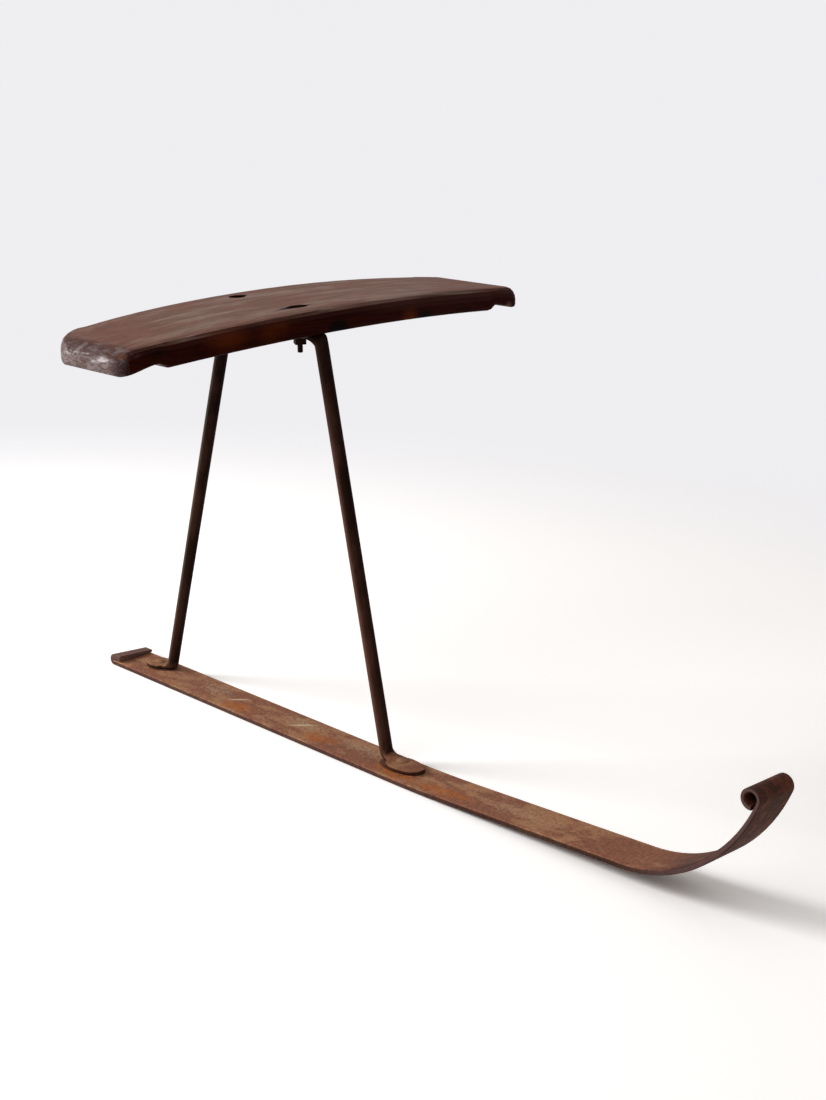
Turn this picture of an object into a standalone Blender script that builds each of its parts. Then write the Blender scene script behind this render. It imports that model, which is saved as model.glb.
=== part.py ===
"""Single-runner ski sled: an arched seat board bolted to a bent rod frame, riveted to one iron runner.

Axes: +X towards the rolled nose, +Y to the left of a rider who faces the nose, +Z up.
The origin lies on the floor, on the runner's middle line, under the crossbar. Sizes are in metres.
"""
import math
from collections import namedtuple

import bmesh
import bpy
from mathutils import Matrix, Vector

# Gap between pieces that touch
CLEARANCE = 0.0003

# Runner: one flat iron strip, folded over at the heel and rolled up at the nose
STRIP_WIDTH = 0.0473
STRIP_THICKNESS = 0.0048
STRIP_CHAMFER = 0.0006
STRIP_ROUND = 0.0018
SOLE_FRONT_X = 0.1840
RISE_RADIUS = 1.5000
RISE_ANGLE = math.radians(2.7)
NOSE_START_X = 0.4543
NOSE_RADIUS = 0.1330
NOSE_ANGLE = math.radians(39.4)
NOSE_UPPER_RADIUS = 0.1457
NOSE_UPPER_ANGLE = math.radians(70.0)
NOSE_END_X = 0.5750
NOSE_WIDTH = 0.0455
NOSE_THICKNESS = 0.0038
ROLL_RADIUS = 0.0088
ROLL_TURN = math.radians(298.0)
# Columns: side of the strip, end of the heel, height of its fold, length and thickness of its flap
HeelEdge = namedtuple("HeelEdge", "side x fold_height flap_length flap_thickness")
HEEL_EDGES = [HeelEdge(-1, -0.2360, 0.0116, 0.0170, 0.0060), HeelEdge(1, -0.2395, 0.0082, 0.0140, 0.0030)]

# Frame: one round iron rod, its ends hammered to pads and its top to a flat crossbar
ROD_DIAMETER = 0.0127
PAD_THICKNESS = 0.0042
PAD_TIP_FULLNESS = 2.2
PAD_HEEL_SHARE = 0.86
NECK_WIDTH = 0.0165
TOP_BEND_RADIUS = 0.0105
CROSSBAR_TOP_Z = 0.3861
CROSSBAR_WIDTH = 0.0220
CROSSBAR_THICKNESS = 0.0046
FRONT_FOOT_X = 0.1564
REAR_FOOT_X = 0.1680
# Columns: name, direction along X, corner of the rod below, its offset, and the corner above, ankle, bend
Foot = namedtuple("Foot", "name ahead x y top_x ankle bend pad")
# Columns: length, length of its tip, width, offset, its rivet's distance from the corner and offset
Pad = namedtuple("Pad", "length tip width y rivet_run rivet_y")
FRONT_PAD = Pad(0.0505, 0.0270, 0.0290, 0.0032, 0.0226, 0.0050)
REAR_PAD = Pad(0.0345, 0.0165, 0.0265, 0.0055, 0.0172, 0.0045)
FEET = [
    Foot("front", 1, FRONT_FOOT_X, 0.0080, 0.0634, 0.0125, 0.0090, FRONT_PAD),
    Foot("rear", -1, REAR_FOOT_X, 0.0075, 0.0701, 0.0115, 0.0075, REAR_PAD),
]

# Rivets that hold the pads to the runner
RIVET_HEAD_DIAMETER = 0.0120
RIVET_HEAD_HEIGHT = 0.0020
RIVET_SHANK_DIAMETER = 0.0056
RIVET_TAIL_DIAMETER = 0.0086
RIVET_TAIL_DEPTH = 0.0020

# Seat board: arched from side to side, boat-shaped in plan, grooved under its ends for the fingers
SEAT_FRONT_X = 0.0680
SEAT_REAR_X = -0.0790
SEAT_SIDE_BOW = 0.0170
SEAT_THICKNESS = 0.0222
SEAT_ARCH_RADIUS = 2.3000
SEAT_LEAN = math.radians(4.0)
SEAT_TOP_ROUND = 0.0115
SEAT_BOTTOM_ROUND = 0.0040
SEAT_RIGHT_REACH = 0.2115
SEAT_LEFT_REACH = 0.2840
FINGER_GROOVE_DEPTH = 0.0056
GROOVE_SHOULDER = 0.0110
LIP_LENGTH = 0.0100
LIP_RISE = 0.0018
# Columns: side, reach from the bolts, fullness of the rear edge, length of the finger groove and lip,
# radii of the two corners in plan, length and drop of the end's rounding above, and its radius below
SeatEnd = namedtuple("SeatEnd", "side reach fullness groove front_corner rear_corner above drop below")
RIGHT_END = SeatEnd(-1, SEAT_RIGHT_REACH, 3.5, 0.0385, 0.0120, 0.0440, 0.0210, 0.0125, 0.0050)
LEFT_END = SeatEnd(1, SEAT_LEFT_REACH, 2.0, 0.0410, 0.0150, 0.0170, 0.0150, 0.0120, 0.0050)

# Bolts and square nuts that hold the seat board to the crossbar
BOLT_DIAMETER = 0.0050
BOLT_HEAD_SIDE = 0.0090
BOLT_HEAD_HEIGHT = 0.0040
BOLT_POINT = 0.0006
BOLT_PAST_NUT = 0.0078
NUT_SIDE = 0.0103
NUT_HEIGHT = 0.0072
NUT_EDGE_ROUND = 0.0006
RECESS_Y = -0.0018
# Columns: name, place along X, turn of the head, turn of the nut, then the recess's width, length, depth
BoltRow = namedtuple("BoltRow", "name x head_turn nut_turn recess_width recess_length recess_depth")
BOLTS = [
    BoltRow("front", 0.0350, 0.35, 0.26, 0.0136, 0.0230, 0.0055),
    BoltRow("rear", -0.0505, 0.20, 0.40, 0.0150, 0.0170, 0.0075),
]

# Fineness of the surfaces: sides of the rod and of the turned pieces, and facets along the seat and groove
ROD_SIDES = 20
TURNED_SIDES = 32
SEAT_FACET = 0.0300
GROOVE_FACET = 0.0018

# Heights worked out from the sizes above, the last one measured from the crossbar's middle
PAD_Z = STRIP_THICKNESS + CLEARANCE + PAD_THICKNESS / 2
CROSSBAR_Z = CROSSBAR_TOP_Z - CROSSBAR_THICKNESS / 2
SEAT_UNDERSIDE = CROSSBAR_THICKNESS / 2 + CLEARANCE

# Radii of the holes
RIVET_HOLE_RADIUS = RIVET_SHANK_DIAMETER / 2 + CLEARANCE
BOLT_HOLE_RADIUS = BOLT_DIAMETER / 2 + CLEARANCE

# Section of the rod: width along Y, thickness, squareness of its outline, lean about X, shift along Y
Section = namedtuple("Section", "width thickness squareness lean shift")
ROUND = 2.0
FLATTENED = 3.0
FLAT = 4.0
ROUND_ROD = Section(ROD_DIAMETER, ROD_DIAMETER, ROUND, 0.0, 0.0)
CROSSBAR = Section(CROSSBAR_WIDTH, CROSSBAR_THICKNESS, FLAT, SEAT_LEAN, 0.0)


def new_collection(name):
    collection = bpy.data.collections.new(name)
    bpy.context.scene.collection.children.link(collection)
    return collection


def new_material(name, colour, roughness, metallic):
    material = bpy.data.materials.new(name)
    material.use_nodes = True
    shader = material.node_tree.nodes["Principled BSDF"]
    shader.inputs["Base Color"].default_value = (*colour, 1.0)
    shader.inputs["Roughness"].default_value = roughness
    shader.inputs["Metallic"].default_value = metallic
    material.diffuse_color = (*colour, 1.0)
    return material


def new_object(name, bm, collection, material=None):
    mesh = bpy.data.meshes.new(name)
    bm.to_mesh(mesh)
    bm.free()
    mesh.shade_smooth()
    mesh.set_sharp_from_angle(angle=math.radians(35))
    if material:
        mesh.materials.append(material)
    obj = bpy.data.objects.new(name, mesh)
    collection.objects.link(obj)
    return obj


def place(obj, x, y=0.0, base=None):
    """Put an object at x and y on the floor's frame, or on the frame of the base that it is fixed to."""
    obj.parent = base
    obj.location = (x, y, 0)
    return obj


def combine(obj, tool, operation="DIFFERENCE"):
    """Cut or join by another object, which isn't shown itself."""
    tool.hide_render = True
    tool.display_type = "WIRE"
    boolean = obj.modifiers.new(tool.name, "BOOLEAN")
    boolean.operation = operation
    boolean.solver = "EXACT"
    boolean.object = tool


def round_edges(obj, width):
    bevel = obj.modifiers.new("rounded edges", "BEVEL")
    bevel.width = width
    bevel.segments = 2
    bevel.limit_method = "ANGLE"
    bevel.angle_limit = math.radians(40)


def prism(radius, low, high, sides=TURNED_SIDES, turn=0.0):
    """An upright cylinder or prism from one height to another, as a bmesh."""
    bm = bmesh.new()
    bmesh.ops.create_cone(
        bm, cap_ends=True, segments=sides, radius1=radius, radius2=radius, depth=high - low,
        matrix=Matrix.Translation((0, 0, (low + high) / 2)) @ Matrix.Rotation(turn, 4, "Z"),
    )
    return bm


def square_prism(side, low, high, turn):
    return prism(side / math.sqrt(2), low, high, 4, turn)


def turned(name, profile, collection, material=None):
    """A solid turned about Z from (radius, height) points that run from its top to its bottom."""
    bm = bmesh.new()
    verts = [bm.verts.new((radius, 0, height)) for radius, height in profile]
    for upper, lower in zip(verts, verts[1:]):
        bm.edges.new((upper, lower))
    obj = new_object(name, bm, collection, material)
    screw = obj.modifiers.new("turning", "SCREW")
    screw.steps = TURNED_SIDES
    screw.render_steps = TURNED_SIDES
    screw.use_merge_vertices = True
    screw.merge_threshold = 0.00001
    return obj


def loft(rings):
    """A closed solid through rings that have as many points each, as a bmesh."""
    bm = bmesh.new()
    loops = [[bm.verts.new(point) for point in ring] for ring in rings]
    for loop, following in zip(loops, loops[1:]):
        for i, vert in enumerate(loop):
            j = (i + 1) % len(loop)
            bm.faces.new((vert, loop[j], following[j], following[i]))
    bm.faces.new(loops[0])
    bm.faces.new(loops[-1])
    bmesh.ops.recalc_face_normals(bm, faces=bm.faces)
    return bm


def ease(share):
    """A share from 0 to 1 that starts and ends slowly, held at its ends."""
    share = min(max(share, 0.0), 1.0)
    return share * share * (3 - 2 * share)


def blend(first, last, share):
    """A number, or each number of a section, part of the way from the first to the last."""
    if isinstance(first, Section):
        return Section(*(blend(old, new, share) for old, new in zip(first, last)))
    return first + (last - first) * share


class Walk:
    """A line in the XZ plane, made of straight runs and of arcs that turn left when positive."""

    def __init__(self, x, z, heading, section=None):
        self.x = x
        self.z = z
        self.heading = heading
        self.section = section
        self.stations = []

    def mark(self):
        self.stations.append((self.x, self.z, self.heading, self.section))

    def step(self, length, turn=0.0):
        middle = self.heading + turn / 2
        self.x += length * math.cos(middle)
        self.z += length * math.sin(middle)
        self.heading += turn

    def advance(self, chord, turn, steps, section):
        """Take even steps while the section eases into a new one, with a station at each step."""
        first = self.section
        for i in range(1, steps + 1):
            self.step(chord, turn)
            if section:
                self.section = blend(first, section, ease(i / steps))
            self.mark()

    def run(self, length, steps=1, section=None):
        self.advance(length / steps, 0.0, steps, section)

    def arc(self, radius, turn, steps, section=None):
        chord = 2 * radius * math.sin(abs(turn) / steps / 2)
        self.advance(chord, turn / steps, steps, section)


def runner_line(edge):
    """Stations along one edge of the strip's middle layer, from the flap's end to the end of the roll."""
    half = STRIP_THICKNESS / 2
    flap_z = edge.fold_height - edge.flap_thickness / 2
    fold_x = edge.x + edge.fold_height / 2
    walk = Walk(edge.x + edge.flap_length, flap_z, math.pi, edge.flap_thickness)
    walk.mark()
    walk.run(walk.x - fold_x)
    walk.arc((flap_z - half) / 2, math.pi, 14, STRIP_THICKNESS)
    walk.run(SOLE_FRONT_X - walk.x)
    walk.arc(RISE_RADIUS - half, RISE_ANGLE, 4)
    walk.run((NOSE_START_X - walk.x) / math.cos(walk.heading))
    walk.arc(NOSE_RADIUS - half, NOSE_ANGLE - RISE_ANGLE, 12)
    walk.arc(NOSE_UPPER_RADIUS - half, NOSE_UPPER_ANGLE - NOSE_ANGLE, 9, NOSE_THICKNESS)
    walk.arc(ROLL_RADIUS - NOSE_THICKNESS / 2, ROLL_TURN, 32)
    return walk.stations


def strip_ring(right, left):
    """The strip's section, chamfered below and rounded above, between stations on its two edges."""
    ring = []
    for edge, (x, z, heading, thickness) in zip(HEEL_EDGES, (right, left)):
        narrowing = ease((x - NOSE_START_X) / (NOSE_END_X - NOSE_START_X)) * (STRIP_WIDTH - NOSE_WIDTH)
        reach = (STRIP_WIDTH - narrowing) / 2
        inward = Vector((-math.sin(heading), 0, math.cos(heading)))
        outline = [(reach - STRIP_CHAMFER, 0), (reach, STRIP_CHAMFER)]
        outline += corner(reach - STRIP_ROUND, thickness - STRIP_ROUND, STRIP_ROUND, 0, 3)
        points = [
            Vector((x, edge.side * across, z)) + inward * (depth - thickness / 2) for across, depth in outline
        ]
        ring += points if edge.side < 0 else reversed(points)
    return ring


def make_runner():
    right, left = [runner_line(edge) for edge in HEEL_EDGES]
    rings = [strip_ring(*pair) for pair in zip(right, left)]
    runner = new_object("runner", loft(rings), PARTS, RUSTED_IRON)
    mouth = RIVET_TAIL_DIAMETER / 2 + CLEARANCE
    profile = [
        (0, STRIP_THICKNESS + CLEARANCE),
        (RIVET_HOLE_RADIUS, STRIP_THICKNESS + CLEARANCE),
        (RIVET_HOLE_RADIUS, RIVET_TAIL_DEPTH + CLEARANCE),
        (mouth, CLEARANCE),
        (mouth, -CLEARANCE),
        (0, -CLEARANCE),
    ]
    for foot in FEET:
        combine(runner, at_rivet(turned("strip_hole_" + foot.name, profile, CUTTERS), foot))


def at_rivet(obj, foot):
    return place(obj, foot.ahead * (foot.x + foot.pad.rivet_run), foot.pad.rivet_y)


def rod_ring(x, z, heading, section):
    """The rod's outline at a station: round at squareness 2, with flat sides above that."""
    power = 2 / section.squareness
    across = Vector((0, section.width / 2, 0))
    inward = Vector((-math.sin(heading), 0, math.cos(heading))) * section.thickness / 2
    lean = Matrix.Rotation(section.lean, 3, "X")
    ring = []
    for i in range(ROD_SIDES):
        angle = math.tau * (i + 0.5) / ROD_SIDES
        side = math.copysign(abs(math.cos(angle)) ** power, math.cos(angle))
        depth = math.copysign(abs(math.sin(angle)) ** power, math.sin(angle))
        ring.append(Vector((x, section.shift, z)) + lean @ (across * side + inward * depth))
    return ring


def half_frame(foot):
    """Stations from the tip of a pad, up its leg and along the crossbar to the middle, at positive x."""
    pad = Section(foot.pad.width, PAD_THICKNESS, FLAT, 0.0, foot.pad.y - foot.y)
    pad_heel = pad._replace(width=pad.width * PAD_HEEL_SHARE)
    neck = Section(NECK_WIDTH, PAD_THICKNESS, FLATTENED, 0.0, 0.0)
    ankle = Section(foot.ankle, foot.ankle, ROUND, 0.0, 0.0)
    leg = Vector((foot.top_x - foot.x, CROSSBAR_Z - PAD_Z))
    turn = math.pi - math.atan2(leg.y, leg.x)
    foot_run = foot.bend * math.tan(turn / 2)
    top_run = TOP_BEND_RADIUS * math.tan(turn / 2)
    heel_run = foot.pad.rivet_run - RIVET_HEAD_DIAMETER / 2 - CLEARANCE
    walk = Walk(foot.x + foot.pad.length, PAD_Z, math.pi)
    steps = 8
    reached = 0.0
    for i in range(1, steps + 1):
        share = 1 - math.cos(math.pi / 2 * i / steps)
        walk.step(foot.pad.tip * (share - reached))
        reached = share
        fullness = (1 - (1 - share) ** PAD_TIP_FULLNESS) ** (1 / PAD_TIP_FULLNESS)
        walk.section = pad._replace(width=pad.width * fullness)
        walk.mark()
    walk.run(foot.pad.length - foot.pad.tip - heel_run, 3, pad_heel)
    walk.run(heel_run - foot_run, 5, neck)
    walk.arc(foot.bend, -turn, 8, ankle)
    walk.run(leg.length - foot_run - top_run, 4, ROUND_ROD)
    walk.arc(TOP_BEND_RADIUS, turn, 8, CROSSBAR)
    walk.run(walk.x, 2)
    return [shifted(station, foot) for station in walk.stations]


def shifted(station, foot):
    """A station moved along Y, for a leg that leans from its foot to the crossbar's middle."""
    x, z, heading, section = station
    share = (CROSSBAR_Z - z) / (CROSSBAR_Z - PAD_Z)
    return x, z, heading, section._replace(shift=section.shift + foot.y * share)


def make_frame_rod():
    front, rear = [half_frame(foot) for foot in FEET]
    rings = [rod_ring(*station) for station in front]
    for station in reversed(rear[:-1]):
        rings.append([Vector((-point.x, point.y, point.z)) for point in rod_ring(*station)])
    frame = new_object("frame_rod", loft(rings), PARTS, DARK_IRON)
    for foot in FEET:
        hole = new_object("pad_hole_" + foot.name, prism(RIVET_HOLE_RADIUS, 0, PAD_Z + ROD_DIAMETER), CUTTERS)
        combine(frame, at_rivet(hole, foot))
    for row in BOLTS:
        hole = prism(BOLT_HOLE_RADIUS, -CROSSBAR_WIDTH, CROSSBAR_WIDTH)
        combine(frame, at_bolt(new_object("bar_hole_" + row.name, hole, CUTTERS), row))


def at_bolt(obj, row, y=0.0):
    return place(obj, row.x, y, SEAT_BASE)


def make_rivet(foot):
    seat = PAD_Z + PAD_THICKNESS / 2 + CLEARANCE
    head = RIVET_HEAD_DIAMETER / 2
    dome = (head ** 2 + RIVET_HEAD_HEIGHT ** 2) / (2 * RIVET_HEAD_HEIGHT)
    spread = math.asin(head / dome)
    steps = 6
    profile = []
    for i in range(steps + 1):
        angle = spread * i / steps
        profile.append((dome * math.sin(angle), seat + RIVET_HEAD_HEIGHT - dome * (1 - math.cos(angle))))
    profile += [
        (RIVET_SHANK_DIAMETER / 2, seat),
        (RIVET_SHANK_DIAMETER / 2, RIVET_TAIL_DEPTH),
        (RIVET_TAIL_DIAMETER / 2, CLEARANCE),
        (0, CLEARANCE),
    ]
    at_rivet(turned("rivet_" + foot.name, profile, PARTS, DARK_IRON), foot)


def spaced(first, last, spacing):
    """Even places from first to last, both kept, about a spacing apart."""
    count = max(1, round((last - first) / spacing))
    return [first + (last - first) * i / count for i in range(count + 1)]


def seat_places(end):
    """Distances from the bolts to the board's sections on one side, dense at its groove and end."""
    end_round = max(end.front_corner, end.rear_corner, end.above, end.below)
    shoulder = end.reach - end.groove - GROOVE_SHOULDER
    places = spaced(SEAT_FACET / 2, shoulder, SEAT_FACET)
    places += spaced(shoulder, shoulder + GROOVE_SHOULDER, GROOVE_FACET)[1:]
    places += spaced(shoulder + GROOVE_SHOULDER, end.reach, SEAT_FACET / 5)[1:]
    places = [distance for distance in places if distance < end.reach - end_round - GROOVE_FACET]
    steps = 16
    places += [end.reach - end_round * (1 - math.sin(math.pi / 2 * i / steps)) for i in range(steps + 1)]
    return places


def end_inset(distance, run, depth):
    """How far a rounded end has drawn in at a distance from its tip, where it draws in by its depth."""
    rest = max(1 - distance / run, 0.0)
    return depth * (1 - math.sqrt(1 - rest ** 2))


def corner(x, z, radius, quarter, steps):
    """Points round one corner of a section, centred on (x, z), through the numbered quarter turn."""
    angles = [math.pi / 2 * (quarter + i / steps) for i in range(steps + 1)]
    return [(x + radius * math.cos(angle), z + radius * math.sin(angle)) for angle in angles]


def seat_ring(end, distance):
    """The board's section at a distance from the bolts, with broad corners above and narrow ones below."""
    y = end.side * distance
    to_end = end.reach - distance
    middle = (SEAT_LEFT_REACH - SEAT_RIGHT_REACH) / 2
    share = (y - middle) / (SEAT_LEFT_REACH - middle)
    arch = SEAT_UNDERSIDE + math.sqrt(SEAT_ARCH_RADIUS ** 2 - y ** 2) - SEAT_ARCH_RADIUS
    groove = FINGER_GROOVE_DEPTH * ease((end.groove + GROOVE_SHOULDER - to_end) / GROOVE_SHOULDER)
    lip = (FINGER_GROOVE_DEPTH - LIP_RISE) * ease((end.groove - to_end) / (end.groove - LIP_LENGTH))
    low = arch + groove - lip + end_inset(to_end, end.below, end.below)
    high = arch + SEAT_THICKNESS - end_inset(to_end, end.above, end.drop)
    above = SEAT_TOP_ROUND * (high - low) / SEAT_THICKNESS
    below = SEAT_BOTTOM_ROUND * (high - low) / SEAT_THICKNESS
    front = SEAT_FRONT_X - SEAT_SIDE_BOW * share ** 2 - end_inset(to_end, end.front_corner, end.front_corner)
    rear = SEAT_REAR_X + SEAT_SIDE_BOW * abs(share) ** end.fullness
    rear += end_inset(to_end, end.rear_corner, end.rear_corner)
    outline = corner(front - above, high - above, above, 0, 4)
    outline += corner(rear + above, high - above, above, 1, 4)
    outline += corner(rear + below, low + below, below, 2, 2)
    outline += corner(front - below, low + below, below, 3, 2)
    return [(x, y, z) for x, z in outline]


def make_seat_board():
    rings = [seat_ring(RIGHT_END, distance) for distance in reversed(seat_places(RIGHT_END))]
    rings += [seat_ring(LEFT_END, distance) for distance in seat_places(LEFT_END)]
    seat = new_object("seat_board", loft(rings), PARTS, WORN_WOOD)
    seat.parent = SEAT_BASE
    top = SEAT_UNDERSIDE + SEAT_THICKNESS
    for row in BOLTS:
        hole = prism(BOLT_HOLE_RADIUS, 0, top)
        combine(seat, at_bolt(new_object("seat_hole_" + row.name, hole, CUTTERS), row))
        recess = prism(row.recess_width / 2, top - row.recess_depth, top + row.recess_depth)
        bmesh.ops.scale(recess, vec=(1, row.recess_length / row.recess_width, 1), verts=recess.verts)
        combine(seat, at_bolt(new_object("recess_" + row.name, recess, CUTTERS), row, RECESS_Y))


def make_bolt(row):
    """A square-headed bolt, its head down in the seat board's recess and its end past the nut."""
    floor = SEAT_UNDERSIDE + SEAT_THICKNESS - row.recess_depth + CLEARANCE
    end = -CROSSBAR_THICKNESS / 2 - CLEARANCE - NUT_HEIGHT - BOLT_PAST_NUT
    radius = BOLT_DIAMETER / 2
    head = square_prism(BOLT_HEAD_SIDE, floor, floor + BOLT_HEAD_HEIGHT, row.head_turn)
    bolt = new_object("bolt_" + row.name, head, PARTS, DARK_IRON)
    round_edges(bolt, NUT_EDGE_ROUND)
    middle = floor + BOLT_HEAD_HEIGHT / 2
    point = [(radius, end + BOLT_POINT), (radius - BOLT_POINT, end), (0, end)]
    profile = [(0, middle), (radius, middle)] + point
    combine(bolt, at_bolt(turned("shank_" + row.name, profile, CUTTERS), row), "UNION")
    at_bolt(bolt, row)


def make_nut(row):
    high = -CROSSBAR_THICKNESS / 2 - CLEARANCE
    low = high - NUT_HEIGHT
    nut = new_object("nut_" + row.name, square_prism(NUT_SIDE, low, high, row.nut_turn), PARTS, DARK_IRON)
    round_edges(nut, NUT_EDGE_ROUND)
    hole = new_object("nut_hole_" + row.name, prism(BOLT_HOLE_RADIUS, low - NUT_HEIGHT, 0), CUTTERS)
    combine(nut, at_bolt(hole, row))
    at_bolt(nut, row)


for old in list(bpy.data.objects):
    bpy.data.objects.remove(old, do_unlink=True)
PARTS = new_collection("ski_sled")
CUTTERS = new_collection("cutters")
WORN_WOOD = new_material("worn_wood", (0.19, 0.13, 0.09), 0.7, 0.0)
DARK_IRON = new_material("dark_iron", (0.045, 0.032, 0.026), 0.6, 0.5)
RUSTED_IRON = new_material("rusted_iron", (0.17, 0.10, 0.06), 0.75, 0.3)

# The seat board, its bolts and their nuts follow the crossbar's lean about the crossbar's middle
SEAT_BASE = bpy.data.objects.new("seat_base", None)
SEAT_BASE.location = (0, 0, CROSSBAR_Z)
SEAT_BASE.rotation_euler.x = SEAT_LEAN
PARTS.objects.link(SEAT_BASE)

make_runner()
make_frame_rod()
make_seat_board()
for riveted_foot in FEET:
    make_rivet(riveted_foot)
for bolt_row in BOLTS:
    make_bolt(bolt_row)
    make_nut(bolt_row)
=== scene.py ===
"""Studio scene of a single-runner ski sled: worn wood, forged iron and a rusted runner on a pale floor.

Lengths are in metres, in the model's frame: +X towards the rolled nose, +Y to the rider's left, +Z up.
"""
import math
from collections import namedtuple

import bpy
from bpy.props import FloatProperty, FloatVectorProperty, PointerProperty
from mathutils import Matrix, Vector


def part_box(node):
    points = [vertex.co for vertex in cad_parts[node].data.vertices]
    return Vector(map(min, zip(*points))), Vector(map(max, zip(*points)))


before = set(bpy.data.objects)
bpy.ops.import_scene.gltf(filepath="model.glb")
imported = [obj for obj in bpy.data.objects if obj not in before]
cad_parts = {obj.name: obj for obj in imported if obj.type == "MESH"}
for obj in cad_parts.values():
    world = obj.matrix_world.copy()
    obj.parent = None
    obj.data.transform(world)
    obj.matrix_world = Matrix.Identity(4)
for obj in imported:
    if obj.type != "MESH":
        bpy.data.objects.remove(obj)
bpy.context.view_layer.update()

bl_info = {
    "name": "Ski Sled Studio",
    "version": (1, 0, 0),
    "blender": (4, 5, 0),
    "location": "View3D > Sidebar > Sled",
    "description": "Finishes a single-runner ski sled and sets it on a pale studio floor",
    "category": "Object",
}

# Nodes by their finish
SEAT_NODE = "seat_board"
FRAME_NODE = "frame_rod"
RUNNER_NODE = "runner"
RIVET_NODES = ("rivet_front", "rivet_rear")
BOLT_NODES = ("bolt_front", "bolt_rear", "nut_front", "nut_rear")

# Pale film, fresh rust and scratches on the runner, by x, y and reach along it
FILM_PLACES = (
    (-0.090, 0.004, 0.045),
    (0.040, 0.008, 0.040),
    (0.130, 0.006, 0.050),
    (0.330, 0.000, 0.080),
)
FRESH_PLACES = (
    (-0.037, -0.012, 0.040),
    (0.185, -0.014, 0.045),
    (0.250, -0.012, 0.055),
    (0.080, -0.008, 0.035),
)
SCRATCHES = ((-0.051, 0.002, 0.016), (0.043, 0.003, 0.019))
SCRATCH_WIDTH = 0.0026
SCRATCH_TURN = math.radians(50)

# Painted shade round the frame's pads, by x, y, reach along the runner and reach across it
PAD_SHADE_PLACES = ((0.1812, 0.0032, 0.0285, 0.0165), (-0.1835, 0.0055, 0.0215, 0.0155))

# Places of the seat's marks: knots by x and y, patches on its front face by y and reach along it
KNOTS = ((-0.0070, -0.1350), (-0.0400, -0.1600), (0.0250, 0.1500))
OCHRE_PLACES = ((-0.1060, 0.036), (-0.0500, 0.032), (0.1100, 0.016))
BLACK_PLACES = ((-0.1830, 0.034), (0.0180, 0.022), (0.1320, 0.018))

# Bare corners of the seat by place and reach, and tears round its bolts by x, y, width and length
BARE_PLACES = (((0.0470, -0.2050, 0.3830), 0.008), ((0.0500, 0.2620, 0.3930), 0.010))
TEARS = (
    (0.0350, -0.0090, 0.0062, 0.0210),
    (0.0350, -0.0060, 0.0022, 0.0340),
    (-0.0505, 0.0000, 0.0056, 0.0120),
)

# Heights: the strip's upper face, the top of the rust on the feet, and the marks on the seat's front face
STRIP_TOP = 0.005
RUSTY_FOOT_TOP = 0.014
OCHRE_HEIGHT = 0.392
BLACK_HEIGHT = 0.388

# Distances from the seat's ends, the nose and the heel over which their colours set in: the ends' own
# colours, and painted shade on the nose and the heel flap
END_FADE = (0.060, 0.040)
NOSE_FADE = (0.095, 0.045)
HEEL_FADE = (0.040, 0.030)

# Studio lamps by name, place and width
KEY_LAMP = ("key", (-2.05, -1.50, 1.35), 1.2)
SIDE_LAMP = ("side", (0.20, -2.20, 1.90), 2.2)

# Distances from the sled over which the floor turns to the backdrop's colour
FLOOR_FADE = (0.55, 1.60)

Grain = namedtuple("Grain", "fine fibres streaks clouds scuffs")
Rust = namedtuple("Rust", "pits speckle mottle clouds grainy")


def display(red, green, blue):
    """A display colour from 0 to 255 as the linear colour that shaders take."""
    linear = []
    for value in (red, green, blue):
        value /= 255
        linear.append(value / 12.92 if value <= 0.04045 else ((value + 0.055) / 1.055) ** 2.4)
    return tuple(linear)


def corners(node):
    """The lowest and the highest corner of a node's box."""
    return [Vector(point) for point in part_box(node)]


def middle(node):
    """The middle of a node's box."""
    low, high = corners(node)
    return (low + high) / 2


def colour_property(name, description, default):
    return FloatVectorProperty(
        name=name, description=description, default=default, subtype="COLOR", size=3, min=0.0, max=1.0
    )


def length_property(name, description, default):
    return FloatProperty(
        name=name, description=description, default=default,
        subtype="DISTANCE", unit="LENGTH", precision=5,
    )


def number_property(name, description, default):
    return FloatProperty(name=name, description=description, default=default, min=0.0)


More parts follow.
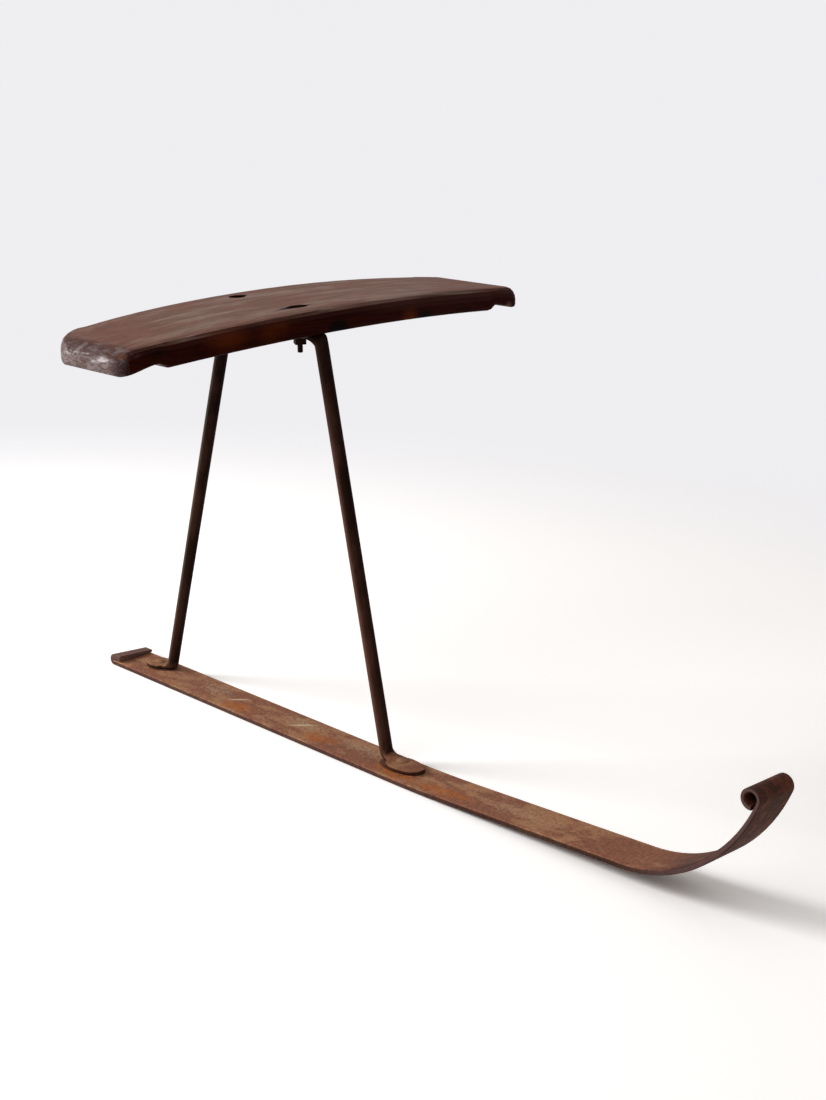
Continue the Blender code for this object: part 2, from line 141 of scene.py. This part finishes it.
class Finish:
    """A node material built up round one Principled shader, in the model's own coordinates."""

    def __init__(self, name, specular=0.5, coat_roughness=0.3):
        self.material = bpy.data.materials.new(name)
        self.material.use_nodes = True
        self.tree = self.material.node_tree
        self.shader = self.tree.nodes["Principled BSDF"]
        self.shader.inputs["Specular IOR Level"].default_value = specular
        self.shader.inputs["Coat Roughness"].default_value = coat_roughness
        coordinates = self.node("ShaderNodeTexCoord")
        self.position = coordinates.outputs["Object"]
        self.x, self.y, self.z = self.node("ShaderNodeSeparateXYZ", self.position).outputs
        self.facing = self.node("ShaderNodeSeparateXYZ", coordinates.outputs["Normal"]).outputs

    def node(self, kind, *inputs, **settings):
        node = self.tree.nodes.new(kind)
        for setting, value in settings.items():
            setattr(node, setting, value)
        for index, value in enumerate(inputs):
            self.feed(node.inputs[index], value)
        return node

    def feed(self, socket, value):
        if isinstance(value, bpy.types.NodeSocket):
            self.tree.links.new(value, socket)
        elif value is not None:
            socket.default_value = value

    def math(self, operation, first, second=None):
        return self.node("ShaderNodeMath", first, second, operation=operation).outputs[0]

    def product(self, *values):
        result = values[0]
        for value in values[1:]:
            result = self.math("MULTIPLY", result, value)
        return result

    def total(self, *values):
        result = values[0]
        for value in values[1:]:
            result = self.math("ADD", result, value)
        return result

    def band(self, value, start, end, low=0.0, high=1.0):
        """A smooth rise from low to high as the value goes from start to end."""
        node = self.node("ShaderNodeMapRange", interpolation_type="SMOOTHSTEP")
        for name, number in (
            ("Value", value), ("From Min", start), ("From Max", end), ("To Min", low), ("To Max", high)
        ):
            self.feed(node.inputs[name], number)
        return node.outputs["Result"]

    def noise(self, size, detail=3.0, roughness=0.5, shift=0.0, distortion=0.0):
        """Noise whose features have the given length along X, Y and Z."""
        if not isinstance(size, tuple):
            size = (size, size, size)
        mapping = self.node("ShaderNodeMapping", self.position)
        mapping.inputs["Scale"].default_value = tuple(1 / length for length in size)
        mapping.inputs["Location"].default_value = (shift, shift * 1.7, shift * 2.3)
        noise = self.node("ShaderNodeTexNoise")
        self.feed(noise.inputs["Vector"], mapping.outputs[0])
        for name, value in (
            ("Scale", 1.0), ("Detail", detail), ("Roughness", roughness), ("Distortion", distortion)
        ):
            noise.inputs[name].default_value = value
        return noise.outputs["Fac"]

    def patch(self, place, reach, turn=0.0):
        """A soft ellipse turned about Z: 1 in its middle and 0 at its reach along X, Y and Z."""
        turned = self.node("ShaderNodeVectorRotate", self.position, tuple(place), (0, 0, 1), -turn)
        offset = self.node("ShaderNodeVectorMath", turned.outputs[0], tuple(place), operation="SUBTRACT")
        scaled = self.node("ShaderNodeVectorMath", offset.outputs[0], tuple(reach), operation="DIVIDE")
        length = self.node("ShaderNodeVectorMath", scaled.outputs[0], operation="LENGTH")
        return self.band(length.outputs["Value"], 1.0, 0.0)

    def mix(self, share, first, second, blend="MIX"):
        node = self.node("ShaderNodeMix", data_type="RGBA", blend_type=blend)
        self.feed(node.inputs[0], share)
        for socket, value in ((node.inputs[6], first), (node.inputs[7], second)):
            self.feed(socket, value if isinstance(value, bpy.types.NodeSocket) else (*value, 1.0))
        return node.outputs[2]

    def tone(self, colour, value, darkest, lightest):
        """A colour made darker or lighter as a value goes from 0 to 1."""
        grey = self.band(value, 0.3, 0.7, darkest, lightest)
        shade = self.node("ShaderNodeCombineColor", grey, grey, grey).outputs[0]
        return self.mix(1.0, colour, shade, "MULTIPLY")

    def bump(self, height, depth):
        """Relief of a depth in metres, on top of any that is there already."""
        node = self.node("ShaderNodeBump")
        node.inputs["Distance"].default_value = depth
        self.feed(node.inputs["Height"], height)
        if self.shader.inputs["Normal"].links:
            self.feed(node.inputs["Normal"], self.shader.inputs["Normal"].links[0].from_socket)
        self.feed(self.shader.inputs["Normal"], node.outputs[0])

    def surface(self, colour, roughness):
        self.feed(self.shader.inputs["Base Color"], colour)
        self.feed(self.shader.inputs["Roughness"], roughness)


def assign(material, *nodes):
    for name in nodes:
        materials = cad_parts[name].data.materials
        materials.clear()
        materials.append(material)


class SledSeatLooks(bpy.types.PropertyGroup):
    """Colours and sizes of the seat board's wood."""

    worn_top: colour_property("Worn top", "Wood that riders have rubbed bare", display(114, 86, 75))
    bleached_top: colour_property("Bleached top", "Greyer streaks in the top", display(134, 110, 100))
    red_top: colour_property("Red top", "Redder streaks and wood near the ends", display(117, 82, 71))
    varnish: colour_property("Varnish", "Old dark varnish on the sides", display(42, 9, 4))
    ochre: colour_property("Ochre", "Ochre wood where the varnish is thin", display(82, 33, 8))
    edge: colour_property("Edge", "Purple-brown along the top's rounded edges", display(62, 34, 30))
    black: colour_property("Black", "Ink-dark stains and torn holes", display(13, 6, 5))
    worn_end: colour_property("Worn end", "Grey end grain on the right end", display(120, 107, 106))
    red_end: colour_property("Red end", "Pinkish wood among the right end's scuffs", display(100, 78, 74))
    ochre_end: colour_property("Ochre end", "Bare corners of both ends", display(98, 66, 54))
    dark_end: colour_property("Dark end", "End grain on the left end", display(96, 74, 64))
    fibre_length: length_property("Fibre length", "Length of the wood's fibres", 0.120)
    fibre_width: length_property("Fibre width", "Width of the wood's fibres", 0.0022)
    fibre_depth: length_property("Fibre depth", "Depth of the grooves between fibres", 0.00022)


class SledIronLooks(bpy.types.PropertyGroup):
    """Colours and sizes of the forged iron."""

    # Also used as painted shade on the side faces of the pads and rivets.
    scale: colour_property("Scale", "Dark forge scale", display(36, 20, 14))
    brown: colour_property("Brown", "Brown rust on the scale", display(68, 42, 33))
    # Painted highlight in brown on the side of the rod that faces right and back.
    rubbed: colour_property("Rubbed", "Where hands have rubbed the rod brown", display(100, 70, 58))
    # Painted highlight in grey on that side of the rear leg.
    rear_highlight_grey: colour_property("Dulled", "Grey film on the rear leg", display(106, 97, 82))
    # Near black: painted shade in the seat's recesses, on the rod's side that faces away and along the
    # runner's lifted near edge; also darkens the legs towards the top and the rear leg all over.
    near_black: colour_property("Soot", "Near black under the seat and in its recesses", display(13, 6, 5))
    hammer_size: length_property("Hammer size", "Width of the hammer's marks", 0.011)
    hammer_depth: length_property("Hammer depth", "Depth of the hammer's marks", 0.0006)
    pit_size: length_property("Pit size", "Width of the rust pits", 0.0012)
    pit_depth: length_property("Pit depth", "Depth of the rust pits", 0.00012)


class SledRunnerLooks(bpy.types.PropertyGroup):
    """Colours and sizes of the rust on the runner."""

    tan: colour_property("Tan", "Even tan rust", display(157, 114, 84))
    orange: colour_property("Orange", "Fresh orange rust", display(164, 94, 46))
    red: colour_property("Red", "Darker reddish rust", display(133, 87, 67))
    freckle: colour_property("Freckle", "Dark freckles in the rust", display(104, 62, 46))
    grey: colour_property("Grey", "Pale film on bare iron", display(160, 134, 110))
    scratch: colour_property("Scratch", "Pale scratches", display(208, 182, 150))
    # Painted shade over the nose and the underside, and a share of the painted shade on the near side and
    # round the pads.
    nose: colour_property("Nose", "Dark brown of the nose", display(64, 39, 31))
    nose_red: colour_property("Nose red", "Redder rust on the nose", display(92, 52, 36))
    # Also the painted shade on the near side and heel flap, and the painted highlight on the scroll's near
    # edge.
    edge: colour_property("Edge", "Dark line along the edges", display(92, 70, 68))


class SledStageLooks(bpy.types.PropertyGroup):
    """Floor, backdrop, lights and camera."""

    floor: colour_property("Floor", "Colour of the floor", display(250, 249, 248))
    backdrop: colour_property("Backdrop", "Colour behind the floor", display(239, 238, 241))
    floor_lift: number_property("Floor lift", "How much paler the floor is where it is seen", 1.36)
    floor_radius: length_property("Floor radius", "Radius of the floor", 14.0)
    key_power: number_property("Key power", "Power of the low lamp behind the sled's heel", 71.0)
    side_power: number_property("Side power", "Power of the wide lamp at the sled's right side", 17.0)
    fill: number_property("Fill", "Strength of the light from all round", 0.42)
    fill_tint: colour_property("Fill tint", "Colour of the light from all round", (1.0, 0.96, 0.93))
    camera_place: FloatVectorProperty(
        name="Camera", description="Place of the camera", default=(1.2174, -1.0378, 0.6071),
        subtype="XYZ", unit="LENGTH", size=3, precision=4,
    )
    camera_turn: FloatVectorProperty(
        name="Camera turn", description="Heading, downward pitch and roll of the camera",
        default=(math.radians(44.73), math.radians(15.13), math.radians(1.84)), unit="ROTATION", size=3,
    )
    focal_length: number_property("Focal length", "Lens for a frame 36 mm high, in millimetres", 56.5)


class SLED_OT_finish_seat(bpy.types.Operator):
    """Give the seat board its worn top, dark varnished sides and bare ends"""

    bl_idname = "sled.finish_seat"
    bl_label = "Finish Seat Board"

    def execute(self, context):
        looks = context.scene.sled_seat
        wood = Finish("worn seat wood", specular=0.01, coat_roughness=0.42)
        grain = self.grain(wood, looks)
        low, high = corners(SEAT_NODE)
        by_right = wood.band(wood.y, *(low.y + reach for reach in END_FADE))
        by_left = wood.band(wood.y, *(high.y - reach for reach in END_FADE))
        rub = wood.total(wood.facing[2], wood.product(wood.math("SUBTRACT", grain.streaks, 0.5), 0.35))
        top = self.top(wood, looks, grain)
        side = self.side(wood, looks, grain)
        colour = wood.mix(wood.band(rub, 0.30, 0.80), side, wood.mix(0.5, side, looks.edge))
        faded = wood.product(wood.band(wood.y, 0.02, 0.12), wood.band(rub, -0.10, 0.45), 0.75)
        colour = wood.mix(faded, colour, wood.tone(looks.edge, grain.fibres, 0.7, 1.2))
        colour = wood.mix(wood.band(rub, 0.74, 0.95), colour, top)
        colour = self.ends(wood, looks, grain, colour, by_right, by_left, rub)
        colour = self.bare_and_torn(wood, looks, grain, colour)
        wood.feed(wood.shader.inputs["Coat Weight"], self.polish(wood, by_right))
        wood.surface(colour, wood.band(grain.fibres, 0.3, 0.7, 0.45, 0.62))
        self.relief(wood, looks, grain)
        assign(wood.material, SEAT_NODE)
        return {"FINISHED"}

    def grain(self, wood, looks):
        """The noises that the wood's colours and its relief share."""
        width = looks.fibre_width
        length = looks.fibre_length
        return Grain(
            fine=wood.noise((width / 3, length / 3, width / 3), 4.0, 0.6),
            fibres=wood.noise((width, length, width), 4.0, 0.6, 3.1, 0.15),
            streaks=wood.noise((width * 5, length * 1.6, width * 5), 4.0, 0.6, 7.7, 0.3),
            clouds=wood.noise((0.025, 0.07, 0.03), 4.0, 0.55, 5.2),
            scuffs=wood.noise((0.010, 0.004, 0.0035), 5.0, 0.65, 1.9, 0.8),
        )

    def top(self, wood, looks, grain):
        """Bare wood in bleached and reddish streaks, redder towards the ends, with a few knots."""
        low, high = corners(SEAT_NODE)
        near_right = wood.band(wood.y, low.y + 0.10, low.y + 0.02)
        near_left = wood.band(wood.y, high.y - 0.10, high.y)
        redness = wood.total(
            wood.product(wood.total(near_right, near_left), 0.6),
            wood.band(grain.clouds, 0.46, 0.62, 0.0, 0.75),
        )
        top = wood.mix(wood.band(grain.streaks, 0.44, 0.58), looks.worn_top, looks.bleached_top)
        top = wood.mix(wood.math("MINIMUM", redness, 1.0), top, looks.red_top)
        top = wood.tone(top, grain.fibres, 0.74, 1.18)
        top = wood.tone(top, grain.fine, 0.88, 1.08)
        for x, y in KNOTS:
            knot = wood.patch((x, y, high.z), (0.009, 0.016, 0.08))
            top = wood.mix(wood.product(knot, 0.7), top, looks.dark_end)
        return top

    def side(self, wood, looks, grain):
        """Dark varnish, thin and ochre in places on the front face and black in others."""
        front = corners(SEAT_NODE)[1].x
        side = wood.mix(wood.band(grain.fibres, 0.35, 0.65, 0.0, 0.6), looks.varnish, looks.black)
        ochre = wood.total(*(
            wood.patch((front, y, OCHRE_HEIGHT), (0.03, reach, 0.016)) for y, reach in OCHRE_PLACES
        ))
        ochre = wood.product(
            ochre, wood.band(grain.clouds, 0.36, 0.60), wood.band(grain.fibres, 0.30, 0.55, 0.4, 0.9)
        )
        side = wood.mix(ochre, side, looks.ochre)
        for y, reach in BLACK_PLACES:
            black = wood.patch((front, y, BLACK_HEIGHT), (0.03, reach, 0.02))
            black = wood.total(black, wood.product(grain.clouds, 0.3))
            side = wood.mix(wood.band(black, 0.35, 0.8), side, looks.black)
        return wood.tone(side, grain.fine, 0.85, 1.15)

    def ends(self, wood, looks, grain, colour, by_right, by_left, rub):
        """Scuffed grey end grain on the right, below a dark crest, and brown end grain on the left."""
        specks = wood.noise(0.0018, 4.0, 0.7, 2.9)
        worn = wood.mix(wood.band(grain.scuffs, 0.40, 0.60), looks.worn_end, looks.red_end)
        worn = wood.tone(wood.tone(worn, specks, 0.80, 1.18), grain.scuffs, 1.05, 0.76)
        crest = wood.product(
            by_right, wood.band(wood.facing[1], -0.12, -0.30), wood.band(rub, 0.45, 0.80), 0.6
        )
        clear_of_corner = wood.band(wood.x, 0.052, 0.036, 0.15, 1.0)
        right = wood.product(by_right, clear_of_corner, wood.band(wood.facing[1], -0.25, -0.50))
        left = wood.product(by_left, wood.band(wood.facing[1], 0.35, 0.80))
        colour = wood.mix(right, colour, worn)
        colour = wood.mix(crest, colour, looks.edge)
        return wood.mix(left, colour, wood.tone(looks.dark_end, specks, 0.8, 1.2))

    def bare_and_torn(self, wood, looks, grain, colour):
        """Corners rubbed bare, and black tears along the grain at the bolts."""
        high = corners(SEAT_NODE)[1]
        for place, reach in BARE_PLACES:
            bare = wood.product(wood.patch(place, (reach, reach, reach)), wood.total(grain.scuffs, 0.5))
            colour = wood.mix(wood.band(bare, 0.1, 0.7, 0.0, 0.8), colour, looks.ochre_end)
        for x, y, width, length in TEARS:
            torn = wood.patch((x, y, high.z), (width, length, 0.05))
            colour = wood.mix(wood.band(torn, 0.0, 0.40), colour, looks.black)
        return colour

    def polish(self, wood, by_right):
        """Where the right end is rubbed to a shine, in broken spots below its crest."""
        broken = wood.noise((0.013, 0.008, 0.007), 2.0, 0.5, 6.6, 0.3)
        return wood.product(
            by_right,
            wood.band(wood.facing[2], -0.10, 0.35, 0.35, 1.0),
            wood.band(wood.facing[1], -0.15, -0.45),
            wood.band(broken, 0.46, 0.62),
            0.80,
        )

    def relief(self, wood, looks, grain):
        wood.bump(grain.fibres, looks.fibre_depth)
        wood.bump(wood.product(grain.scuffs, wood.band(wood.facing[1], -0.2, -0.6)), looks.fibre_depth * 2)
        wood.bump(grain.fine, looks.fibre_depth / 2)
        wood.bump(wood.noise((0.02, 0.05, 0.02), 2.0, 0.5, 4.0), looks.fibre_depth * 4)


class SLED_OT_finish_frame(bpy.types.Operator):
    """Give the rod frame, its rivets, bolts and nuts their forged and rusted iron"""

    bl_idname = "sled.finish_frame"
    bl_label = "Finish Frame and Fasteners"

    def execute(self, context):
        looks = context.scene.sled_iron
        rust = context.scene.sled_runner
        iron = Finish("forged iron", specular=0.015)
        hammer = iron.noise((looks.hammer_size, looks.hammer_size, looks.hammer_size * 2.2), 1.0, 0.4)
        pits = iron.noise(looks.pit_size, 5.0, 0.7, 2.0)
        clouds = iron.noise((0.03, 0.03, 0.06), 4.0, 0.6, 6.0)
        colour = iron.mix(iron.band(clouds, 0.42, 0.65), looks.scale, looks.brown)
        colour = iron.tone(colour, pits, 0.75, 1.25)
        colour = iron.mix(iron.band(iron.z, 0.22, 0.08, 0.0, 0.4), colour, looks.brown)
        # Painted highlight on the rod's side that faces right and back, painted shade on the side that faces
        # away.
        colour = self.painted_light_and_shade(iron, looks, colour)
        # Darker towards the top of the legs, under the seat.
        colour = iron.mix(iron.band(iron.z, 0.20, 0.37, 0.0, 0.45), colour, looks.near_black)
        # Painted shade: near black above the seat's underside, on the bolts in its holes and recesses.
        colour = iron.mix(iron.band(iron.z, 0.388, 0.394), colour, looks.near_black)
        colour = iron.mix(self.low_share(iron, clouds), colour, self.pad(iron, looks, rust, clouds, pits))
        iron.surface(colour, iron.band(pits, 0.3, 0.7, 0.42, 0.66))
        iron.bump(hammer, looks.hammer_depth)
        iron.bump(pits, looks.pit_depth)
        assign(iron.material, FRAME_NODE, *RIVET_NODES, *BOLT_NODES)
        return {"FINISHED"}

    def painted_light_and_shade(self, iron, looks, colour):
        """Painted light and shade on the rod: a brown painted highlight on the side that faces right and
        back, grey on the rear leg, and near-black painted shade on the side that faces away; the rear leg a
        little darker all over.
        """
        towards = iron.product(iron.total(iron.facing[0], iron.facing[1]), -0.7)
        on_rear = iron.band(iron.x, 0.01, -0.01)
        colour = iron.mix(iron.product(on_rear, 0.3), colour, looks.near_black)
        rubbed = iron.mix(on_rear, looks.rubbed, looks.rear_highlight_grey)
        lit = iron.total(towards, iron.product(on_rear, -0.2))
        # Painted highlight: brown in front, grey on the rear leg.
        colour = iron.mix(iron.band(lit, 0.25, 1.0, 0.0, 0.8), colour, rubbed)
        # Painted shade on the side that faces away.
        return iron.mix(iron.band(towards, 0.1, -0.7, 0.0, 0.6), colour, looks.near_black)

    def pad(self, iron, looks, rust, clouds, pits):
        """The runner's rust, which has spread over the pads and rivets, with painted shade in the scale's
        dark colour on their side faces.
        """
        pad = iron.mix(iron.band(clouds, 0.4, 0.6), rust.tan, rust.red)
        pad = iron.tone(pad, pits, 0.66, 1.04)
        # Painted shade on the side faces of the pads and rivets.
        return iron.mix(iron.band(iron.facing[2], 0.75, 0.30, 0.0, 0.8), pad, looks.scale)

    def low_share(self, iron, clouds):
        """1 at the feet and 0 on the legs, with an uneven border."""
        foot_top = corners(RUNNER_NODE)[0].z + RUSTY_FOOT_TOP
        return iron.band(iron.total(iron.z, iron.product(clouds, 0.01)), foot_top + 0.006, foot_top)


class SLED_OT_finish_runner(bpy.types.Operator):
    """Give the runner its tan and orange rust, a darker far edge, and painted shade over its near side, heel
    flap and nose
    """

    bl_idname = "sled.finish_runner"
    bl_label = "Finish Runner"

    def execute(self, context):
        looks = context.scene.sled_runner
        iron = context.scene.sled_iron
        strip = Finish("rusted strip", specular=0.05)
        rust = self.rust(strip, iron)
        colour = self.patchy(strip, looks, rust)
        colour = self.marks(strip, looks, colour)
        colour = self.dark_nose(strip, looks, rust, colour)
        colour = self.edges(strip, looks, iron, rust, colour)
        strip.surface(colour, strip.band(rust.speckle, 0.3, 0.7, 0.55, 0.78))
        strip.bump(rust.pits, iron.pit_depth)
        strip.bump(rust.mottle, iron.pit_depth * 3)
        strip.bump(strip.noise((0.03, 0.015, 0.02), 2.0, 0.5, 1.0), iron.pit_depth * 4)
        assign(strip.material, RUNNER_NODE)
        return {"FINISHED"}

    def rust(self, strip, iron):
        """The noises that the rust's colours and its relief share."""
        speckle = strip.noise(0.0026, 5.0, 0.7, 8.0)
        mottle = strip.noise((0.016, 0.011, 0.012), 6.0, 0.65, 5.5, 0.4)
        return Rust(
            pits=strip.noise(iron.pit_size, 6.0, 0.7),
            speckle=speckle,
            mottle=mottle,
            clouds=strip.noise((0.060, 0.030, 0.03), 5.0, 0.6, 2.6, 0.3),
            grainy=strip.total(strip.product(mottle, 0.55), strip.product(speckle, 0.45)),
        )

    def patchy(self, strip, looks, rust):
        """Tan and reddish rust with pale film, fresh orange rust and dark freckles."""
        redness = strip.total(rust.clouds, strip.product(rust.mottle, 0.4))
        colour = strip.mix(strip.band(redness, 0.63, 0.74), looks.tan, looks.red)
        film = strip.total(*(
            strip.patch((x, y, 0.0), (reach, 0.018, 0.03)) for x, y, reach in FILM_PLACES
        ))
        film = strip.band(strip.total(strip.product(film, 0.16), rust.grainy), 0.52, 0.74)
        colour = strip.mix(strip.product(film, 0.8), colour, looks.grey)
        fresh = strip.total(*(
            strip.patch((x, y, 0.0), (reach, 0.017, 0.03)) for x, y, reach in FRESH_PLACES
        ))
        fresh = strip.band(strip.total(strip.product(fresh, 0.24), rust.grainy), 0.53, 0.75)
        colour = strip.mix(strip.product(fresh, 0.85), colour, looks.orange)
        freckles = strip.band(strip.noise(0.0045, 4.0, 0.6, 3.3), 0.58, 0.68, 0.0, 0.6)
        colour = strip.mix(freckles, colour, looks.freckle)
        colour = strip.tone(colour, rust.speckle, 0.70, 1.26)
        return strip.tone(colour, rust.pits, 0.84, 1.12)

    def marks(self, strip, looks, colour):
        """Pale scratches, and painted shade round the pads."""
        top = corners(RUNNER_NODE)[0].z + STRIP_TOP
        for x, y, reach in SCRATCHES:
            scratch = strip.patch((x, y, top), (reach, SCRATCH_WIDTH, 0.01), SCRATCH_TURN)
            colour = strip.mix(strip.band(scratch, 0.0, 0.7, 0.0, 0.8), colour, looks.scratch)
        # Painted shade round the pads, in the nose's dark brown.
        for x, y, length, width in PAD_SHADE_PLACES:
            pad_shade = strip.patch((x, y, 0.0), (length, width, 0.05))
            colour = strip.mix(strip.band(pad_shade, 0.0, 0.05, 0.0, 0.8), colour, looks.nose)
        return colour

    def dark_nose(self, strip, looks, rust, colour):
        """Painted shade over the nose and on the underside, mottled with redder rust."""
        front = corners(RUNNER_NODE)[1].x
        dark = strip.mix(strip.band(rust.mottle, 0.46, 0.60), looks.nose, looks.nose_red)
        dark = strip.tone(strip.tone(dark, rust.pits, 0.75, 1.25), rust.speckle, 0.8, 1.2)
        uneven_x = strip.total(strip.x, strip.product(rust.clouds, 0.03))
        nose = strip.band(uneven_x, *(front - reach for reach in NOSE_FADE))
        under = strip.band(strip.facing[2], -0.05, -0.5)
        # Painted shade over the nose and the underside.
        return strip.mix(strip.math("MAXIMUM", nose, under), colour, dark)

    def edges(self, strip, looks, iron, rust, colour):
        """Painted shade on the near side, near black as a painted shadow where it lifts off the floor and
        lighter again on the scroll as a painted highlight; a darker line on the far edge; painted shade on
        the heel flap.
        """
        # Painted shade on the near side.
        near = strip.band(strip.facing[1], -0.80, -0.98, 0.0, 0.85)
        shade = strip.mix(0.6, looks.edge, looks.nose)
        # Painted shadow, near black, where the near edge lifts off the floor.
        shade = strip.mix(strip.band(strip.x, 0.18, 0.32, 0.0, 0.65), shade, iron.near_black)
        # Back to the edge colour on the scroll, as a painted highlight.
        shade = strip.mix(strip.band(strip.x, 0.45, 0.50), shade, looks.edge)
        shade = strip.tone(shade, rust.speckle, 0.45, 0.85)
        shade = strip.mix(strip.band(strip.x, 0.49, 0.53, 0.0, 0.8), shade, looks.edge)
        colour = strip.mix(near, colour, shade)
        heel = corners(RUNNER_NODE)[0].x
        on_heel = strip.band(strip.x, *(heel + reach for reach in HEEL_FADE))
        # Painted shade on the heel flap.
        flap_shade = strip.product(strip.band(strip.z, 0.0052, 0.0064), on_heel, 0.8)
        far = strip.band(strip.facing[1], 0.15, 0.60, 0.0, 0.85)
        edge = strip.math("MINIMUM", strip.total(far, flap_shade), 1.0)
        return strip.mix(edge, colour, strip.tone(looks.edge, rust.speckle, 0.8, 1.2))


class SLED_OT_set_stage(bpy.types.Operator):
    """Set the sled on a pale floor with soft light and the photograph's camera"""

    bl_idname = "sled.set_stage"
    bl_label = "Set Stage"

    def execute(self, context):
        looks = context.scene.sled_stage
        bpy.ops.mesh.primitive_circle_add(vertices=96, radius=looks.floor_radius, fill_type="NGON")
        floor = context.object
        floor.name = "floor"
        floor.data.materials.append(self.floor_material(looks))
        self.light_world(context.scene, looks)
        self.add_lamp(*KEY_LAMP, looks.key_power)
        self.add_lamp(*SIDE_LAMP, looks.side_power)
        self.add_camera(context.scene, looks)
        context.scene.view_settings.view_transform = "Standard"
        return {"FINISHED"}

    def floor_material(self, looks):
        """Matt near the sled, and the backdrop's own colour further out, so that no horizon shows."""
        finish = Finish("pale floor", specular=0.1)
        seen = seen_directly(finish)
        lifted = [value * looks.floor_lift for value in looks.floor]
        finish.surface(finish.mix(seen, looks.floor, lifted), 0.9)
        glow = finish.node("ShaderNodeEmission", (*looks.backdrop, 1.0), 1.0)
        distance = finish.node("ShaderNodeVectorMath", finish.position, operation="LENGTH")
        far = finish.product(seen, finish.band(distance.outputs["Value"], *FLOOR_FADE))
        blend = finish.node("ShaderNodeMixShader", far, finish.shader.outputs[0], glow.outputs[0])
        finish.feed(finish.tree.nodes["Material Output"].inputs["Surface"], blend.outputs[0])
        return finish.material

    def light_world(self, scene, looks):
        world = bpy.data.worlds.new("studio")
        world.use_nodes = True
        scene.world = world
        nodes = world.node_tree.nodes
        links = world.node_tree.links
        output = nodes["World Output"]
        light = nodes["Background"]
        light.inputs["Color"].default_value = (*looks.fill_tint, 1.0)
        light.inputs["Strength"].default_value = looks.fill
        backdrop = nodes.new("ShaderNodeBackground")
        backdrop.inputs["Color"].default_value = (*looks.backdrop, 1.0)
        rays = nodes.new("ShaderNodeLightPath")
        glossy = nodes.new("ShaderNodeMath")
        through = nodes.new("ShaderNodeMath")
        glossy.operation = through.operation = "MAXIMUM"
        links.new(rays.outputs["Is Camera Ray"], glossy.inputs[0])
        links.new(rays.outputs["Is Glossy Ray"], glossy.inputs[1])
        links.new(glossy.outputs[0], through.inputs[0])
        links.new(rays.outputs["Is Transmission Ray"], through.inputs[1])
        mix = nodes.new("ShaderNodeMixShader")
        links.new(through.outputs[0], mix.inputs[0])
        links.new(light.outputs[0], mix.inputs[1])
        links.new(backdrop.outputs[0], mix.inputs[2])
        links.new(mix.outputs[0], output.inputs["Surface"])

    def add_lamp(self, name, place, size, power):
        lamp = bpy.data.lights.new(name, "AREA")
        lamp.shape = "DISK"
        lamp.size = size
        lamp.energy = power
        obj = bpy.data.objects.new(name, lamp)
        obj.location = place
        aim = middle(FRAME_NODE) - obj.location
        obj.rotation_euler = aim.to_track_quat("-Z", "Y").to_euler()
        bpy.context.scene.collection.objects.link(obj)

    def add_camera(self, scene, looks):
        camera = bpy.data.cameras.new("camera")
        camera.sensor_fit = "VERTICAL"
        camera.sensor_height = 36.0
        camera.lens = looks.focal_length
        camera.clip_start = 0.01
        obj = bpy.data.objects.new("camera", camera)
        heading, pitch, roll = looks.camera_turn
        turn = Matrix.Rotation(heading, 4, "Z") @ Matrix.Rotation(math.pi / 2 - pitch, 4, "X")
        turn = turn @ Matrix.Rotation(roll, 4, "Z")
        obj.matrix_world = Matrix.Translation(looks.camera_place) @ turn
        scene.collection.objects.link(obj)
        scene.camera = obj


def seen_directly(finish):
    """1 for rays from the camera, in a mirror or through glass, and 0 for the light on things."""
    rays = finish.node("ShaderNodeLightPath").outputs
    seen = finish.math("MAXIMUM", rays["Is Camera Ray"], rays["Is Glossy Ray"])
    return finish.math("MAXIMUM", seen, rays["Is Transmission Ray"])


class SLED_PT_studio(bpy.types.Panel):
    """Sidebar panel with the steps in order"""

    bl_idname = "SLED_PT_studio"
    bl_label = "Ski Sled Studio"
    bl_space_type = "VIEW_3D"
    bl_region_type = "UI"
    bl_category = "Sled"

    def draw(self, context):
        for operator in OPERATORS:
            self.layout.operator(operator.bl_idname)


GROUPS = {
    "sled_seat": SledSeatLooks,
    "sled_iron": SledIronLooks,
    "sled_runner": SledRunnerLooks,
    "sled_stage": SledStageLooks,
}
OPERATORS = (SLED_OT_finish_seat, SLED_OT_finish_frame, SLED_OT_finish_runner, SLED_OT_set_stage)
CLASSES = (*GROUPS.values(), *OPERATORS, SLED_PT_studio)


def register():
    for cls in CLASSES:
        bpy.utils.register_class(cls)
    for name, group in GROUPS.items():
        setattr(bpy.types.Scene, name, PointerProperty(type=group))


def unregister():
    for name in GROUPS:
        delattr(bpy.types.Scene, name)
    for cls in reversed(CLASSES):
        bpy.utils.unregister_class(cls)


def main():
    register()
    bpy.ops.sled.finish_seat()
    bpy.ops.sled.finish_frame()
    bpy.ops.sled.finish_runner()
    bpy.ops.sled.set_stage()


if __name__ == "__main__":
    main()
